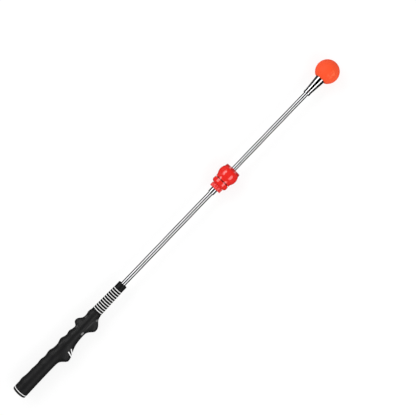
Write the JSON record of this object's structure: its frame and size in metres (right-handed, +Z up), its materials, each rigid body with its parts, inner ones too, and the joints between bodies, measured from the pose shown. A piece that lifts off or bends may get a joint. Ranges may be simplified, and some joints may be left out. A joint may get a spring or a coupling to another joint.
{
  "type": "swing trainer stick",
  "caption": "Golf swing trainer stick: moulded training grip, chromed tube shaft, sliding red clicker with a magnet hold and adjuster, chromed cone and orange ball.",
  "frame": {"origin": "centre of the butt's flat end face, on the stick's axis", "axes": "+X along the stick from the butt to the ball, +Y the finger side of the grip, -Y its palm side, +Z up as the stick lies"},
  "size_m": [0.76, 0.0431, 0.041],
  "materials": {
    "grip_rubber": "matte moulded rubber",
    "cap_plastic": "satin black plastic",
    "white_plastic": "satin white plastic",
    "core_plastic": "moulded grey plastic",
    "liner_plastic": "natural acetal",
    "steel": "turned steel",
    "tube_chrome": "polished chrome plate",
    "magnet": "nickel-plated magnet",
    "slider_red": "glossy red plastic",
    "ball_orange": "satin orange plastic"
  },
  "bodies": {
    "stick": {"butt_cap": "cap_plastic", "butt_ring": "white_plastic", "grip_sleeve": "grip_rubber", "grip_core": "core_plastic", "cross_pin": "steel", "neck_sleeve": "cap_plastic", "neck_rings": "white_plastic", "neck_collar": "cap_plastic", "lower_tube": "tube_chrome", "joint_spigot": "steel", "stop_ferrule": "tube_chrome", "upper_tube": "tube_chrome", "strike_collar": "tube_chrome", "ball_cone": "tube_chrome", "tip_plug": "core_plastic", "ball_core": "core_plastic", "ball": "ball_orange"},
    "liner": {"slider_liner": "liner_plastic"},
    "slider": {"slider_rear_shell": "slider_red", "slider_bulb": "slider_red", "slider_rim": "slider_red", "strike_insert": "steel"},
    "adjuster": {"adjuster_ring": "slider_red"},
    "carrier": {"magnet_carrier": "core_plastic", "ring_magnet": "magnet"}
  },
  "joints": [
    {"name": "slider_travel", "type": "slide", "parent": "stick", "child": "liner", "axis": [1, 0, 0], "range_m": [0, 0.174]},
    {"name": "slider_spin", "type": "hinge", "parent": "liner", "child": "slider", "pos_m": [0.4915, 0, 0], "axis": [1, 0, 0], "continuous": true},
    {"name": "adjuster_turn", "type": "hinge", "parent": "slider", "child": "adjuster", "pos_m": [0.4745, 0, 0], "axis": [1, 0, 0], "range_deg": [0, 270]},
    {"name": "magnet_shift", "type": "slide", "parent": "slider", "child": "carrier", "axis": [1, 0, 0], "range_m": [0, 0.004]}
  ],
  "couplings": [
    {"joint": "adjuster_turn", "follows": "magnet_shift", "rad_per_m": 1178.1}
  ]
}
